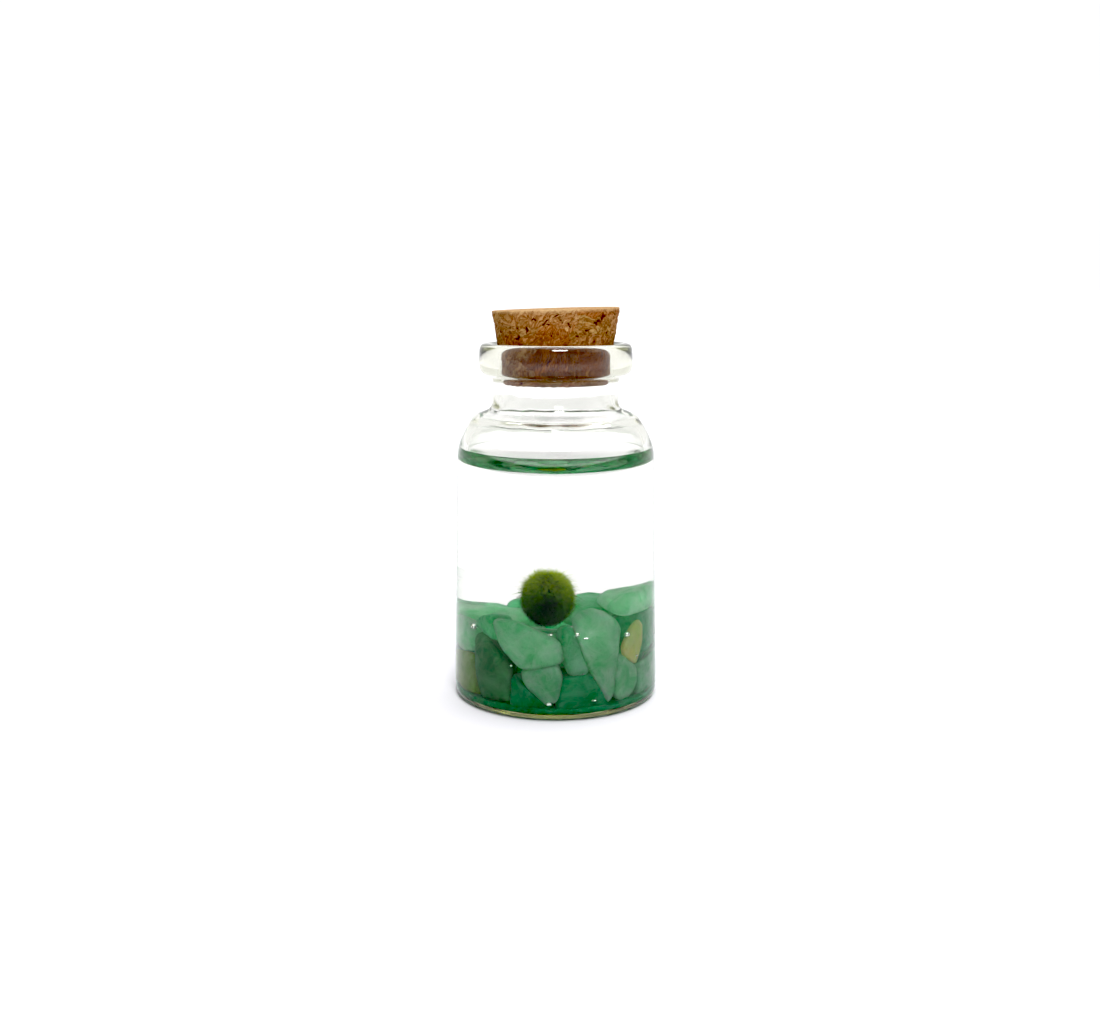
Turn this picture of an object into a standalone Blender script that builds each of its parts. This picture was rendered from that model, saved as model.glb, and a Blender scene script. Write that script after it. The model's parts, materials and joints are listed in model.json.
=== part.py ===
"""
Marimo moss ball in a small corked glass bottle.

The bottle stands on z = 0 with its axis on +Z, and the side that faces -Y is
the front. Inside it, from the floor up: a bed of tumbled aventurine chips, the
moss ball in a hollow of that bed, water, an air space, and a tapered cork.
Lengths below are in millimetres and angles in degrees; an angle round the
bottle is counted from the front, positive towards +X.
"""
import math
import random

import bmesh
import bpy
import numpy as np
from mathutils import Vector

MM = 0.001

# ---------------------------------------------------------------- driving sizes
SEGMENTS = 36            # sides of everything that is turned

BASE_R = 11.12           # outside radius just above the heel
BODY_TOP_R = 10.60       # outside radius under the shoulder
BODY_TOP_Z = 27.3
NECK_R = 6.70
LIP_R = 8.16
BOTTLE_H = 38.15
WALL = 0.92
FLOOR_Z = 0.80           # inside floor
PUNT = 0.20              # hollow under the base
BASE_RING_R = 8.0        # the flat standing ring runs from here to the heel

CORK_BOTTOM_Z = 33.90
CORK_TOP_Z = 41.70
CORK_BOTTOM_R = 5.46
CORK_TOP_R = 6.85
CORK_TILT = 1.7          # the top face falls to the left by this angle

WATER_Z = 24.20          # the level away from the glass
CAPILLARY = 2.7          # the length that sets how far a curved water edge reaches
CLIMB_ANGLE = 62.0       # slope of the water's edge where it meets the glass
WATER_LOW_Z = 7.0        # under this height the chips lie so close that it isn't built

BALL_CENTRE = (-0.57, -5.0, 11.95)
BALL_HALF = (2.55, 2.65, 3.15)

GAP = 0.25               # between a piece and the glass, or the water and a piece
CHIP_GAP = 0.10          # between two chips, or a chip and the floor
POCKET_CUTS = 12         # slanting facets of a chip's pocket in the water
CHIP_EDGE = 0.30         # how far a chip's edges are worn back
FLAT_ANGLE = 1.0         # facets that meet flatter than this count as one flat
CORNER_MERGE = 0.85      # of a chip's corners closer than this, one is kept


def outside_profile():
    """Radius and height pairs of the bottle's outside, from the base to the lip."""
    base = [(0.0, PUNT), (BASE_RING_R, 0.0)]
    heel = [(BASE_R - 0.95, 0.0), (BASE_R - 0.34, 0.22), (BASE_R, 1.1)]
    body = [(BASE_R - 0.02, 3.5), (10.77, 16.0), (BODY_TOP_R, BODY_TOP_Z)]
    shoulder = [(10.50, 28.3), (10.22, 29.1), (9.78, 29.7), (9.30, 30.10),
                (8.95, 30.30), (8.72, 30.58), (8.02, 30.98), (7.34, 31.45),
                (6.92, 32.0), (NECK_R, 32.7)]
    lip = [(NECK_R + 0.04, 34.55), (7.35, 34.80), (7.90, 35.20), (8.13, 35.80),
           (LIP_R, 37.20), (7.90, 37.88), (7.45, BOTTLE_H)]
    return base + heel + body + shoulder + lip


def inside_profile():
    """The bottle's inside, from the floor up to the mouth."""
    floor = [(0.0, FLOOR_Z), (9.3, FLOOR_Z), (9.85, FLOOR_Z + 0.22),
             (10.13, FLOOR_Z + 0.85)]
    body = [(BASE_R - 0.03 - WALL, 3.5), (9.85, 16.0), (BODY_TOP_R - WALL, BODY_TOP_Z)]
    shoulder = [(9.62, 28.2), (9.32, 28.9), (8.75, 29.42), (8.00, 29.78),
                (7.20, 30.18), (6.50, 30.75), (6.04, 31.5)]
    mouth = [(5.88, 32.6), (5.96, 34.8), (6.27, 37.4), (6.46, 37.93), (6.80, BOTTLE_H)]
    return floor + body + shoulder + mouth


def inside_radius(z):
    """Inside radius of the bottle's body at a height."""
    rows = [row for row in inside_profile() if row[0] > 9.5 and row[1] < 28.0]
    return float(np.interp(z, [row[1] for row in rows], [row[0] for row in rows]))


# ---------------------------------------------------------------- scene helpers
def clear_scene():
    for obj in list(bpy.data.objects):
        bpy.data.objects.remove(obj, do_unlink=True)


def plain_material(name, colour, roughness):
    mat = bpy.data.materials.new(name)
    mat.use_nodes = True
    shader = mat.node_tree.nodes["Principled BSDF"]
    shader.inputs["Base Color"].default_value = (*colour, 1.0)
    shader.inputs["Roughness"].default_value = roughness
    shader.inputs["Metallic"].default_value = 0.0
    mat.diffuse_color = (*colour, 1.0)
    return mat


def add_object(name, bm, colour, roughness=0.4, centre=(0.0, 0.0, 0.0), smooth_to=0.0):
    """Turns a bmesh built in millimetres into an object in metres.

    The object's origin is at the centre, and edges flatter than smooth_to are shaded
    smooth.
    """
    bmesh.ops.translate(bm, vec=-Vector(centre), verts=bm.verts)
    bmesh.ops.scale(bm, vec=(MM, MM, MM), verts=bm.verts)
    bmesh.ops.recalc_face_normals(bm, faces=bm.faces)
    mesh = bpy.data.meshes.new(name)
    bm.to_mesh(mesh)
    bm.free()
    if smooth_to > 0.0:
        mesh.shade_smooth()
        mesh.set_sharp_from_angle(angle=math.radians(smooth_to))
    mesh.materials.append(plain_material(name, colour, roughness))
    obj = bpy.data.objects.new(name, mesh)
    obj.location = Vector(centre) * MM
    bpy.context.scene.collection.objects.link(obj)
    return obj


def turned(profile, segments=SEGMENTS):
    """A closed body of revolution. A profile point at radius 0 becomes a pole."""
    bm = bmesh.new()
    rings = []
    for radius, z in profile:
        if radius == 0.0:
            rings.append([bm.verts.new((0.0, 0.0, z))])
            continue
        ring = []
        for i in range(segments):
            a = 2.0 * math.pi * (i + 0.5) / segments
            ring.append(bm.verts.new((radius * math.sin(a), -radius * math.cos(a), z)))
        rings.append(ring)
    for low, high in zip(rings, rings[1:]):
        for i in range(segments):
            j = (i + 1) % segments
            if len(low) == 1:
                bm.faces.new((low[0], high[j], high[i]))
            elif len(high) == 1:
                bm.faces.new((low[i], low[j], high[0]))
            else:
                bm.faces.new((low[i], low[j], high[j], high[i]))
    return bm


# ---------------------------------------------------------------- bottle
def build_bottle():
    profile = outside_profile() + list(reversed(inside_profile()))
    return add_object("glass_bottle", turned(profile), (0.86, 0.90, 0.88), 0.05,
                      smooth_to=40.0)


# ---------------------------------------------------------------- cork
def build_cork():
    """A tapered plug whose rim is worn and whose top face is cut a little off level."""
    rng = random.Random(11)
    rows = [(0.0, 0.0), (0.93, 0.0), (1.0, 0.04), (1.0, 0.30), (1.0, 0.62),
            (1.0, 0.92), (0.975, 1.0), (0.0, 1.0)]
    height = CORK_TOP_Z - CORK_BOTTOM_Z
    profile = []
    for share, up in rows:
        radius = CORK_BOTTOM_R + (CORK_TOP_R - CORK_BOTTOM_R) * up
        profile.append((share * radius, CORK_BOTTOM_Z + up * height))
    bm = turned(profile)
    slope = math.tan(math.radians(CORK_TILT))
    for v in bm.verts:
        up = (v.co.z - CORK_BOTTOM_Z) / height
        radius = math.hypot(v.co.x, v.co.y)
        v.co.z += slope * v.co.x * max(0.0, up - 0.6) / 0.4
        if radius > 1.0:
            worn = 1.0 - rng.uniform(0.0, 0.012) - (0.012 if up > 0.96 else 0.0)
            v.co.x *= worn
            v.co.y *= worn
            # the edge is chipped on the right, near the top and halfway down
            angle = math.degrees(math.atan2(v.co.x, -v.co.y))
            if 78.0 < angle < 104.0 and 0.55 < up < 0.95:
                v.co.x *= 0.972
        if up > 0.96:
            v.co.z += rng.uniform(-0.05, 0.03)
    return add_object("cork_stopper", bm, (0.43, 0.22, 0.08), 0.85,
                      centre=(0.0, 0.0, CORK_BOTTOM_Z), smooth_to=40.0)


# ---------------------------------------------------------------- moss ball
def ball_mesh(extra):
    """The ball's lumpy form out to its filament tips, plus an even extra."""
    rng = random.Random(5)
    lumps = [(Vector([rng.gauss(0, 1) for _ in range(3)]).normalized(),
              rng.uniform(-0.16, 0.16)) for _ in range(14)]
    bm = bmesh.new()
    bmesh.ops.create_icosphere(bm, subdivisions=3 if extra == 0.0 else 2, radius=1.0)
    for v in bm.verts:
        way = v.co.normalized()
        lump = sum(high * max(0.0, way.dot(at)) ** 6 for at, high in lumps)
        half = [BALL_HALF[i] * way[i] * 0.97 for i in range(3)]
        v.co = Vector(half) + way * (lump + extra)
        v.co += Vector(BALL_CENTRE)
    return bm


def build_ball():
    bm = ball_mesh(0.0)
    # the ball sits on its bed, so its underside is pressed a little flat
    low = BALL_CENTRE[2] - BALL_HALF[2] + 0.22
    for v in bm.verts:
        if v.co.z < low:
            v.co.z = low - 0.25 * (low - v.co.z)
    return add_object("marimo_moss_ball", bm, (0.10, 0.20, 0.01), 0.9,
                      centre=BALL_CENTRE, smooth_to=60.0)


# ---------------------------------------------------------------- chips
# Each wall chip is given by the outline that it shows through the glass: pairs of
# angle and height, then how far it stands off the glass, its thickness inwards,
# how much its back is narrower than its front, and its colour.
PALE = (0.27, 0.47, 0.31)
MID = (0.09, 0.30, 0.17)
DEEP = (0.015, 0.16, 0.06)
DARK = (0.045, 0.12, 0.075)
OLIVE = (0.21, 0.24, 0.08)
SAND = (0.42, 0.40, 0.14)

WALL_CHIPS = {
    "chip_01_left_pale": (((-94, 5.6), (-95, 8.0), (-80, 8.8), (-65, 8.5), (-58, 7.7),
                           (-58, 6.1), (-70, 5.5)), 0.0, 4.2, 0.62, PALE),
    "chip_02_left_olive": (((-90, 1.5), (-93, 4.8), (-70, 5.2), (-58, 5.8), (-56, 4.0),
                            (-56, 1.5), (-70, 1.2)), 0.0, 4.0, 0.60, OLIVE),
    "chip_03_dark": (((-57, 7.6), (-50, 8.1), (-41, 7.1), (-34, 5.6), (-27, 4.4),
                      (-25, 3.0), (-29, 1.4), (-50, 1.2), (-54, 3.2)),
                     0.0, 3.8, 0.60, DARK),
    "chip_04_small_mid": (((-60, 8.6), (-55, 9.8), (-43, 10.3), (-39, 8.8), (-42, 7.4),
                           (-52, 8.3)), 0.5, 3.6, 0.70, MID),
    "chip_05_large_pale": (((-41, 9.8), (-36, 10.1), (-25, 9.9), (-9, 9.0), (0, 8.3),
                            (4, 7.2), (3, 5.9), (-9, 5.5), (-21, 5.1), (-34, 7.0)),
                           0.0, 3.0, 0.66, (0.20, 0.42, 0.26)),
    "chip_06_lower_pale": (((-21, 4.9), (-10, 5.3), (1, 5.6), (4, 4.3), (2, 2.3),
                            (-5, 1.3), (-10, 1.8), (-18, 3.4)),
                           0.0, 3.0, 0.62, (0.17, 0.38, 0.22)),
    "chip_07_low_deep": (((-34, 1.0), (-32, 3.9), (-22, 4.3), (-8, 2.4), (-2, 1.0),
                          (-18, 0.9)), 0.1, 5.0, 0.75, DEEP),
    "chip_08_centre": (((0, 8.9), (5, 9.6), (11, 9.3), (15, 7.8), (18, 6.1), (21, 4.6),
                        (9, 4.5), (5, 5.4), (4, 7.4)), 0.15, 4.2, 0.70, MID),
    "chip_09_teal": (((4, 4.3), (21, 4.5), (29, 3.0), (36, 0.9), (18, 0.8), (-1, 0.8),
                      (2, 2.6)), 0.05, 4.6, 0.78, (0.02, 0.20, 0.10)),
    "chip_10_right_pale": (((12, 10.1), (16, 10.8), (23, 11.1), (30, 10.7), (38, 9.8),
                            (43, 8.7), (40, 7.2), (37, 5.2), (37, 1.8), (32, 1.2),
                            (26, 3.0), (21, 5.1), (16, 7.2), (12, 9.0)),
                           0.0, 3.6, 0.66, (0.22, 0.43, 0.27)),
    "chip_11_right_deep": (((45, 8.4), (48, 9.5), (60, 10.0), (78, 9.8), (93, 9.2),
                            (91, 5.5), (72, 5.0), (54, 6.2)),
                           1.0, 3.6, 0.70, (0.03, 0.24, 0.11)),
    "chip_12_sand": (((44, 5.9), (45, 7.2), (52, 8.6), (59, 9.3), (64, 8.6), (63, 6.6),
                      (56, 4.6), (50, 5.0)), 0.0, 1.5, 0.80, SAND),
    "chip_13_low_right": (((36, 4.6), (39, 5.8), (45, 6.1), (51, 5.4), (56, 4.3),
                           (56, 2.6), (51, 1.5), (43, 1.3), (38, 2.0)),
                          0.0, 3.6, 0.62, (0.16, 0.36, 0.20)),
    "chip_14_right_edge": (((58, 4.7), (70, 4.9), (90, 5.0), (91, 1.6), (74, 1.2),
                            (57, 1.3)), 0.0, 4.2, 0.62, (0.14, 0.32, 0.19)),
    "chip_15_right_top": (((43, 10.6), (47, 11.5), (56, 12.1), (68, 12.4), (86, 12.3),
                           (104, 11.6), (107, 10.4), (90, 9.8), (66, 10.2), (50, 10.0)),
                          0.0, 5.6, 0.60, PALE),
    "chip_16_back": (((95, 1.4), (97, 5.4), (112, 6.0), (126, 5.0), (128, 2.0),
                      (114, 1.2)), 0.0, 4.4, 0.60, MID),
    "chip_17_back": (((96, 6.0), (97, 8.9), (112, 9.6), (128, 8.9), (132, 6.4),
                      (114, 6.2)), 0.1, 4.4, 0.62, (0.22, 0.43, 0.27)),
    "chip_18_back": (((131, 1.3), (129, 5.2), (143, 6.4), (157, 5.0), (158, 1.6),
                      (144, 1.2)), 0.0, 4.8, 0.60, (0.20, 0.42, 0.26)),
    "chip_19_back": (((135, 6.6), (132, 9.1), (147, 10.1), (163, 9.4), (166, 6.6),
                      (150, 6.2)), 0.0, 4.0, 0.62, (0.05, 0.26, 0.13)),
    "chip_20_back": (((161, 1.4), (160, 4.8), (175, 5.8), (190, 4.9), (192, 1.8),
                      (176, 1.2)), 0.0, 4.6, 0.60, PALE),
    "chip_21_back": (((169, 6.4), (167, 9.0), (183, 9.7), (198, 8.9), (201, 6.0),
                      (186, 5.6)), 0.1, 4.0, 0.62, MID),
    "chip_22_back": (((195, 1.3), (194, 4.9), (208, 6.0), (224, 5.4), (226, 2.0),
                      (210, 1.2)), 0.0, 4.6, 0.60, (0.16, 0.36, 0.20)),
    "chip_23_back": (((204, 6.5), (202, 8.5), (218, 8.9), (236, 8.5), (238, 6.0),
                      (220, 6.2)), 0.0, 4.2, 0.62, (0.24, 0.45, 0.29)),
    "chip_24_back": (((229, 1.4), (228, 5.0), (244, 5.6), (262, 5.0), (265, 1.8),
                      (246, 1.2)), 0.0, 4.4, 0.60, (0.04, 0.22, 0.11)),
}

# Chips of the bed's inside and top: centre, half sizes, turn about Z, lean about the
# turned X, seed, colour.
INNER_CHIPS = {
    "chip_25_upper_left": ((-4.6, 2.4, 7.9), (4.6, 3.6, 1.75), 10, -3, 3,
                           (0.25, 0.46, 0.30)),
    "chip_26_upper_right": ((2.9, 1.6, 9.1), (3.1, 3.8, 2.1), -14, 5, 8,
                            (0.10, 0.33, 0.19)),
    "chip_27_under_ball": ((-0.8, -3.9, 6.3), (3.8, 3.5, 2.3), 8, 4, 21, MID),
    "chip_28_mid_left": ((-4.6, -2.0, 4.4), (3.0, 4.4, 2.6), 24, 8, 13, DEEP),
    "chip_29_mid_right": ((4.6, -2.4, 5.0), (3.0, 4.4, 2.9), -25, -6, 17, MID),
    "chip_30_core": ((-0.2, -3.0, 2.6), (3.9, 4.4, 1.9), 0, -3, 34, DEEP),
    "chip_31_core_back": ((0.4, 3.2, 3.6), (3.6, 2.6, 2.5), 12, 3, 41, MID),
}


def hull(points):
    """The convex hull of some points, as a bmesh."""
    bm = bmesh.new()
    for p in points:
        bm.verts.new(p)
    made = bmesh.ops.convex_hull(bm, input=bm.verts, use_existing_faces=False)
    spare = {g for key in ("geom_interior", "geom_unused") for g in made[key]
             if isinstance(g, bmesh.types.BMVert)}
    bmesh.ops.delete(bm, geom=list(spare), context="VERTS")
    return bm


def hull_points(points):
    """The corners of the convex hull, without the points that lie within its flats."""
    bm = hull(points)
    bmesh.ops.dissolve_limit(bm, angle_limit=math.radians(FLAT_ANGLE), verts=bm.verts,
                             edges=bm.edges, use_dissolve_boundaries=False)
    out = np.array([v.co[:] for v in bm.verts])
    bm.free()
    return out


def cut_below(points, way, limit):
    """The part of a convex body where way . p stays under the limit."""
    high = points @ way - limit
    kept, gone = points[high <= 0], points[high > 0]
    if len(gone) == 0:
        return points
    extra = []
    for p, hp in zip(kept, high[high <= 0]):
        for q, hq in zip(gone, high[high > 0]):
            extra.append(p + (q - p) * (-hp / (hq - hp)))
    return hull_points(np.array(list(kept) + extra))


def merged(points, within):
    """Of corners closer than this the outer one is kept, so no facet is a sliver."""
    middle = points.mean(axis=0)
    far_first = sorted(points, key=lambda p: -np.linalg.norm(p - middle))
    kept = []
    for p in far_first:
        if all(np.linalg.norm(p - q) >= within for q in kept):
            kept.append(p)
    return np.array(kept)


def wall_chip_points(outline, stand_off, thick, back_share):
    """Corners of a chip that leans on the glass: a front, a widest girdle, a back."""
    mid_angle = sum(a for a, _ in outline) / len(outline)
    mid_z = sum(z for _, z in outline) / len(outline)
    points = []
    for share, inset in ((0.95, 0.0), (1.10, 0.22 * thick), (back_share, thick)):
        for angle, z in outline:
            a = math.radians(mid_angle + (angle - mid_angle) * share)
            height = max(FLOOR_Z + CHIP_GAP, mid_z + (z - mid_z) * share)
            radius = inside_radius(height) - GAP - stand_off - inset
            points.append((radius * math.sin(a), -radius * math.cos(a), height))
    return np.array(points)


def inner_chip_points(centre, half, turn, lean, seed):
    """Corners of a chip that lies within the bed: a box with its corners knocked off."""
    rng = random.Random(seed)
    ca, sa = math.cos(math.radians(turn)), math.sin(math.radians(turn))
    cl, sl = math.cos(math.radians(lean)), math.sin(math.radians(lean))
    points = []
    for k in range(16):
        up = -1.0 + 2.0 * (k + 0.5) / 16
        a = 2.399963 * k + rng.uniform(-0.3, 0.3)
        flat = (1.0 - abs(up) ** 2.6) ** 0.5
        x = half[0] * flat * math.cos(a) * rng.uniform(0.9, 1.08)
        y = half[1] * flat * math.sin(a) * rng.uniform(0.9, 1.08)
        z = half[2] * up * rng.uniform(0.92, 1.05)
        y, z = y * cl - z * sl, y * sl + z * cl
        x, y = x * ca - y * sa, x * sa + y * ca
        x, y, z = x + centre[0], y + centre[1], max(z + centre[2], FLOOR_Z + CHIP_GAP)
        reach = inside_radius(z) - GAP
        far = math.hypot(x, y)
        if far > reach:
            x, y = x * reach / far, y * reach / far
        points.append((x, y, z))
    return np.array(points)


def directions(count):
    out = []
    for i in range(count):
        z = 1.0 - (2.0 * i + 1.0) / count
        a = 2.399963229728653 * i
        r = math.sqrt(1.0 - z * z)
        out.append((r * math.cos(a), r * math.sin(a), z))
    return np.array(out)


def part_neighbours(bodies, ball):
    """Cuts overlapping convex bodies back to a shared plane, leaving the chip gap.

    The plane is square to the direction in which the two overlap least. The moss
    ball keeps its form: only the chip is cut there.
    """
    ways = directions(900)
    names = list(bodies)
    for name in names:
        p = bodies[name]
        depth = (p @ ways.T).max(axis=0) - (ball @ ways.T).min(axis=0)
        k = int(depth.argmin())
        if depth[k] > -CHIP_GAP:
            bodies[name] = cut_below(p, ways[k], (ball @ ways[k]).min() - CHIP_GAP)
    for _ in range(2):
        for i, first in enumerate(names):
            for second in names[i + 1:]:
                p, q = bodies[first], bodies[second]
                depth = (p @ ways.T).max(axis=0) - (q @ ways.T).min(axis=0)
                k = int(depth.argmin())
                if depth[k] <= -CHIP_GAP:
                    continue
                way = ways[k]
                middle = ((p @ way).max() + (q @ way).min()) / 2
                bodies[first] = cut_below(p, way, middle - CHIP_GAP / 2)
                bodies[second] = cut_below(q, -way, -middle - CHIP_GAP / 2)
    return bodies


def tumbled(points):
    """A convex body with its flats kept and its edges worn back."""
    bm = hull(points)
    bmesh.ops.dissolve_limit(bm, angle_limit=math.radians(7.0), verts=bm.verts,
                             edges=bm.edges, use_dissolve_boundaries=False)
    mesh = bpy.data.meshes.new("chip")
    bmesh.ops.scale(bm, vec=(MM, MM, MM), verts=bm.verts)
    bm.to_mesh(mesh)
    bm.free()
    helper = bpy.data.objects.new("chip", mesh)
    bpy.context.scene.collection.objects.link(helper)
    worn = helper.modifiers.new("worn", "BEVEL")
    worn.width = CHIP_EDGE * MM
    worn.segments = 1
    worn.limit_method = "ANGLE"
    worn.angle_limit = math.radians(14.0)
    graph = bpy.context.evaluated_depsgraph_get()
    out = bmesh.new()
    out.from_object(helper, graph)
    bpy.data.objects.remove(helper, do_unlink=True)
    corners = [v.co / MM for v in out.verts]
    out.free()
    return hull(corners)


def build_chips():
    bodies, colours = {}, {}
    for name, (outline, stand_off, thick, back, colour) in WALL_CHIPS.items():
        bodies[name] = wall_chip_points(outline, stand_off, thick, back)
        colours[name] = colour
    for name, (centre, half, turn, lean, seed, colour) in INNER_CHIPS.items():
        bodies[name] = inner_chip_points(centre, half, turn, lean, seed)
        colours[name] = colour
    ball = ball_mesh(0.0)
    ball_points = np.array([v.co[:] for v in ball.verts])
    ball.free()
    bodies = {name: hull_points(points) for name, points in bodies.items()}
    bodies = part_neighbours(bodies, ball_points)
    for name in bodies:
        bodies[name] = hull_points(merged(bodies[name], CORNER_MERGE))
        add_object(name, tumbled(bodies[name]), colours[name], 0.35,
                   centre=bodies[name].mean(axis=0))
    return bodies


# ---------------------------------------------------------------- water
def climb(angle):
    """Distance from the glass and height over the level where the edge has a slope."""
    def reach(t):
        return -math.log(math.tan(t / 4)) - 2.0 * math.cos(t / 2)

    top, t = math.radians(CLIMB_ANGLE), math.radians(angle)
    return (CAPILLARY * (reach(t) - reach(top)), CAPILLARY * 2.0 * math.sin(t / 2))


def water_profile():
    """Inside the glass by the gap, from among the top chips to the climb at the wall."""
    edge = [climb(angle) for angle in (CLIMB_ANGLE, 40.0, 22.0, 8.0)]
    rim_z = WATER_Z + edge[0][1]
    rim = inside_radius(rim_z) - GAP
    rows = [(0.0, WATER_LOW_Z), (inside_radius(WATER_LOW_Z) - GAP, WATER_LOW_Z),
            (inside_radius(16.0) - GAP, 16.0)]
    rows += [(rim - far, WATER_Z + high) for far, high in edge if far < rim]
    return rows + [(0.0, WATER_Z)]


def largest_body(bm):
    """Keeps the biggest of the closed bodies in a bmesh."""
    seen, groups = set(), []
    for face in bm.faces:
        if face in seen:
            continue
        group, todo = [], [face]
        seen.add(face)
        while todo:
            at = todo.pop()
            group.append(at)
            for edge in at.edges:
                for other in edge.link_faces:
                    if other not in seen:
                        seen.add(other)
                        todo.append(other)
        groups.append(group)
    groups.sort(key=lambda group: -sum(f.calc_area() for f in group))
    spare = [f for group in groups[1:] for f in group]
    bmesh.ops.delete(bm, geom=spare, context="FACES")
    return bm


def pocket(points):
    """A body of few facets that clears a chip by the gap on every side."""
    low, high = points.min(axis=0) - GAP, points.max(axis=0) + GAP
    body = np.array([(x, y, z) for x in (low[0], high[0]) for y in (low[1], high[1])
                     for z in (low[2], high[2])])
    for way in directions(POCKET_CUTS):
        body = cut_below(body, way, (points @ way).max() + GAP)
    return body


def build_water(bodies):
    """The water lies over the top chips and round the ball, each in a pocket of its own."""
    water = add_object("water", turned(water_profile()), (0.75, 0.88, 0.90), 0.02,
                       smooth_to=40.0)
    cutters = []
    for name, points in bodies.items():
        if points[:, 2].max() < WATER_LOW_Z - GAP:
            continue
        cutters.append(add_object("pocket_" + name, hull(pocket(points)), (1.0, 1.0, 1.0)))
    cutters.append(add_object("pocket_ball", ball_mesh(GAP), (1.0, 1.0, 1.0)))
    for cutter in cutters:
        cutter.hide_render = True
        cutter.display_type = "WIRE"
        cut = water.modifiers.new(cutter.name, "BOOLEAN")
        cut.operation = "DIFFERENCE"
        cut.solver = "EXACT"
        cut.object = cutter
    graph = bpy.context.evaluated_depsgraph_get()
    bm = bmesh.new()
    bm.from_object(water, graph)
    largest_body(bm)
    water.modifiers.clear()
    bm.to_mesh(water.data)
    bm.free()
    for cutter in cutters:
        bpy.data.objects.remove(cutter, do_unlink=True)
    return water


clear_scene()
build_bottle()
build_cork()
build_ball()
build_water(build_chips())
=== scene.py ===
"""A marimo moss ball on aventurine chips, under water in a small corked glass jar."""
import json
import math
import random

import bmesh
import bpy
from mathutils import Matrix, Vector, noise


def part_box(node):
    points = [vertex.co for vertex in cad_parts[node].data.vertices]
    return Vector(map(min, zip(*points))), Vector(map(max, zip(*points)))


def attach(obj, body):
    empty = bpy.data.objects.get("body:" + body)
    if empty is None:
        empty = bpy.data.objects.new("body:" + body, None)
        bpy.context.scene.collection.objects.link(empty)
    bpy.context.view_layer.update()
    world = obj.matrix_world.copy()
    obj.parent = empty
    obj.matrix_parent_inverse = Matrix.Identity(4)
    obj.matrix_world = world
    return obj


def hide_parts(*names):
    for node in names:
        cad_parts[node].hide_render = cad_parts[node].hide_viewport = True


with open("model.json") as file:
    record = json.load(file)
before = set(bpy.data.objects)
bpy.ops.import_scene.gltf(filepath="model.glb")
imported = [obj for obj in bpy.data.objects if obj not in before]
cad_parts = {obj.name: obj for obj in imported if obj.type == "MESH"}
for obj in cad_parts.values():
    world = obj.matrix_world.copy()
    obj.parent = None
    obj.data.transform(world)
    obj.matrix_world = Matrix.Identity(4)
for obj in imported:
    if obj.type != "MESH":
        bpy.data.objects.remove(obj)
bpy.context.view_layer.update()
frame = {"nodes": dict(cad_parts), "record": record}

# ---------------------------------------------------------------- the jar
# A small bottle of clear soda-lime glass, shaped in a mould: straight body on a rounded
# heel, soft shoulder, short neck and a thick bead round the mouth. The glass is a little
# wavy, inside and out, where it was drawn in to the neck.
MM = 0.001
JAR_SIDES = 160
BASE_RADIUS = 11.07
BODY_TOP_RADIUS = 10.58
FLOOR_HEIGHT = 0.48
MOUTH_HEIGHT = 38.13
WATER_LEVEL = 24.45
CAPILLARY_LENGTH = 2.1      # a little under clean water's 2.7
CONTACT_SLOPE = 74.0        # degrees, where the water meets the glass
DRAWN_IN_HEIGHT = 30.7      # mm, the foot of the neck
DRAWN_IN_REACH = 1.3        # mm, how far up and down from there the glass is wavy
GLASS_IOR = 1.52
WATER_IOR = 1.333


def linear(hex_colour):
    """An sRGB hex colour as the linear values that a shader takes."""
    channels = [int(hex_colour[i:i + 2], 16) / 255 for i in (1, 3, 5)]
    return tuple(c / 12.92 if c < 0.04045 else ((c + 0.055) / 1.055) ** 2.4
                 for c in channels) + (1.0,)


def new_material(name, settings):
    """A material whose Principled shader has these socket values."""
    material = bpy.data.materials.new(name)
    material.use_nodes = True
    shader = material.node_tree.nodes["Principled BSDF"]
    for socket, value in settings.items():
        shader.inputs[socket].default_value = value
    return material


def add_node(material, kind, settings=None, links=None):
    """A node with its own properties or input values set, and inputs linked."""
    node = material.node_tree.nodes.new(kind)
    for key, value in (settings or {}).items():
        if isinstance(key, str) and hasattr(node, key):
            setattr(node, key, value)
        else:
            node.inputs[key].default_value = value
    for key, (source, output) in (links or {}).items():
        material.node_tree.links.new(source.outputs[output], node.inputs[key])
    return node


def rounded(outline, rounds=2):
    """A polyline with its corners cut twice over, which leaves a smooth curve."""
    for _ in range(rounds):
        cut = [outline[0]]
        for (r0, z0), (r1, z1) in zip(outline, outline[1:]):
            cut += [(0.75 * r0 + 0.25 * r1, 0.75 * z0 + 0.25 * z1),
                    (0.25 * r0 + 0.75 * r1, 0.25 * z0 + 0.75 * z1)]
        outline = cut + [outline[-1]]
    return outline


def turned(name, outline, sides, wave=None):
    """A closed body of revolution, in metres, from radius and height in millimetres."""
    points, rings, faces = [], [], []
    for radius, height in outline:
        if radius == 0.0:
            rings.append([len(points)])
            points.append((0.0, 0.0, height * MM))
            continue
        rings.append(list(range(len(points), len(points) + sides)))
        for i in range(sides):
            a = 2 * math.pi * i / sides
            r = radius + (wave(a, height) if wave else 0.0)
            points.append((r * math.sin(a) * MM, -r * math.cos(a) * MM, height * MM))
    for low, high in zip(rings, rings[1:]):
        for i in range(sides):
            j = (i + 1) % sides
            if len(low) == 1:
                faces.append((low[0], high[j], high[i]))
            elif len(high) == 1:
                faces.append((low[i], low[j], high[0]))
            else:
                faces.append((low[i], low[j], high[j], high[i]))
    mesh = bpy.data.meshes.new(name)
    mesh.from_pydata(points, [], faces)
    mesh.shade_smooth()
    made = bpy.data.objects.new(name, mesh)
    bpy.context.scene.collection.objects.link(made)
    return made


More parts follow.
